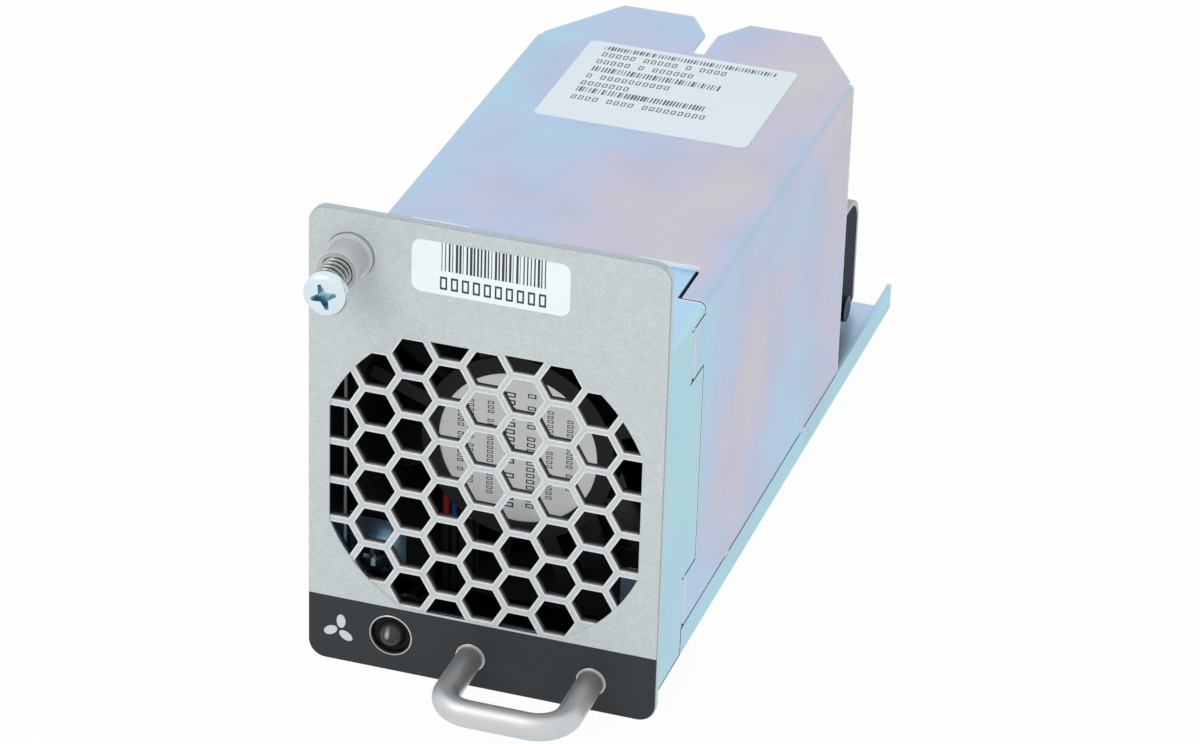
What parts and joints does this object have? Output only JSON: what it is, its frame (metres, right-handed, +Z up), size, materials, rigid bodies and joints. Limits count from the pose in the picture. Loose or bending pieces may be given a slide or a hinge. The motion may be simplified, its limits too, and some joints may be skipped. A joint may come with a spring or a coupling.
{
  "type": "fan module",
  "caption": "Plug-in cooling fan module: zinc sheet-metal sleeve with a honeycomb front panel, pull handle, captive screw and status light, holding axial fans in series.",
  "frame": {"origin": "under the middle of the whole module, on the level of the front panel's bottom edge", "axes": "+X to the right and +Y into the bay, seen from the front panel; +Z up"},
  "size_m": [0.0632, 0.175, 0.0875],
  "materials": {
    "panel_paint": "fine grey powder coat",
    "overlay_film": "printed film, light grey with a charcoal band",
    "label_paper": "plain white label",
    "zinc_sheet": "zinc plate with blue and violet iridescence",
    "zinc_fastener": "bright zinc plate",
    "handle_aluminium": "satin",
    "fan_plastic": "moulded black",
    "impeller_plastic": "moulded black",
    "spring_steel": "drawn wire",
    "bearing_steel": "ground",
    "yoke_steel": "pressed steel",
    "tube_brass": "turned",
    "magnet_rubber": "bonded ferrite",
    "coil_copper": "enamelled copper wire",
    "circuit_board": "dark solder mask on glass fibre",
    "contact_gold": "gold plate",
    "light_lens": "smoked lens",
    "wire_jacket": "vinyl insulation in four colours",
    "plug_plastic": "natural nylon"
  },
  "bodies": {
    "module": {"base_tray": "zinc_sheet", "board_bracket": "zinc_sheet", "board_headers": "plug_plastic", "board_screws": "zinc_fastener", "captive_ferrule": "zinc_fastener", "captive_spring": "spring_steel", "connector_board": "circuit_board", "contact_fingers": "contact_gold", "fan_bolts": "zinc_fastener", "fan_nuts": "zinc_fastener", "front_bracket": "zinc_sheet", "front_fan_bearing_tube": "tube_brass", "front_fan_bearings": "bearing_steel", "front_fan_coils": "coil_copper", "front_fan_frame": "fan_plastic", "front_fan_hub_label": "label_paper", "front_fan_leads": "wire_jacket", "front_fan_motor_board": "circuit_board", "front_fan_plug": "plug_plastic", "front_fan_spider": "fan_plastic", "front_fan_stator_core": "yoke_steel", "front_label": "label_paper", "front_panel": "panel_paint", "handle_screws": "zinc_fastener", "light_holder": "fan_plastic", "light_leads": "wire_jacket", "light_plug": "plug_plastic", "panel_overlay": "overlay_film", "pull_handle": "handle_aluminium", "rear_fan_bearing_tube": "tube_brass", "rear_fan_bearings": "bearing_steel", "rear_fan_coils": "coil_copper", "rear_fan_frame": "fan_plastic", "rear_fan_hub_label": "label_paper", "rear_fan_leads": "wire_jacket", "rear_fan_motor_board": "circuit_board", "rear_fan_plug": "plug_plastic", "rear_fan_spider": "fan_plastic", "rear_fan_stator_core": "yoke_steel", "sleeve_cover": "zinc_sheet", "status_light": "light_lens", "top_label": "label_paper"},
    "front_rotor": {"front_fan_cup": "impeller_plastic", "front_fan_blades": "impeller_plastic", "front_fan_rotor_yoke": "yoke_steel", "front_fan_magnet": "magnet_rubber", "front_fan_shaft": "bearing_steel", "front_fan_shaft_clip": "spring_steel"},
    "rear_rotor": {"rear_fan_cup": "impeller_plastic", "rear_fan_blades": "impeller_plastic", "rear_fan_rotor_yoke": "yoke_steel", "rear_fan_magnet": "magnet_rubber", "rear_fan_shaft": "bearing_steel", "rear_fan_shaft_clip": "spring_steel"},
    "captive_carrier": {"captive_ring": "zinc_fastener"},
    "captive_screw": {"captive_screw": "zinc_fastener"}
  },
  "joints": [
    {"name": "front_fan_spin", "type": "hinge", "parent": "module", "child": "front_rotor", "pos_m": [0, -0.03176, 0.0382], "axis": [0, 1, 0], "continuous": true},
    {"name": "rear_fan_spin", "type": "hinge", "parent": "module", "child": "rear_rotor", "pos_m": [0, 0.00624, 0.0382], "axis": [0, 1, 0], "continuous": true},
    {"name": "captive_push", "type": "slide", "parent": "module", "child": "captive_carrier", "axis": [0, 1, 0], "range_m": [0, 0.0052], "stiffness_N_per_m": 400, "springref_m": -0.004, "deforming": ["captive_spring"]},
    {"name": "captive_turn", "type": "hinge", "parent": "captive_carrier", "child": "captive_screw", "pos_m": [-0.0234, -0.06806, 0.0787], "axis": [0, 1, 0], "continuous": true}
  ]
}
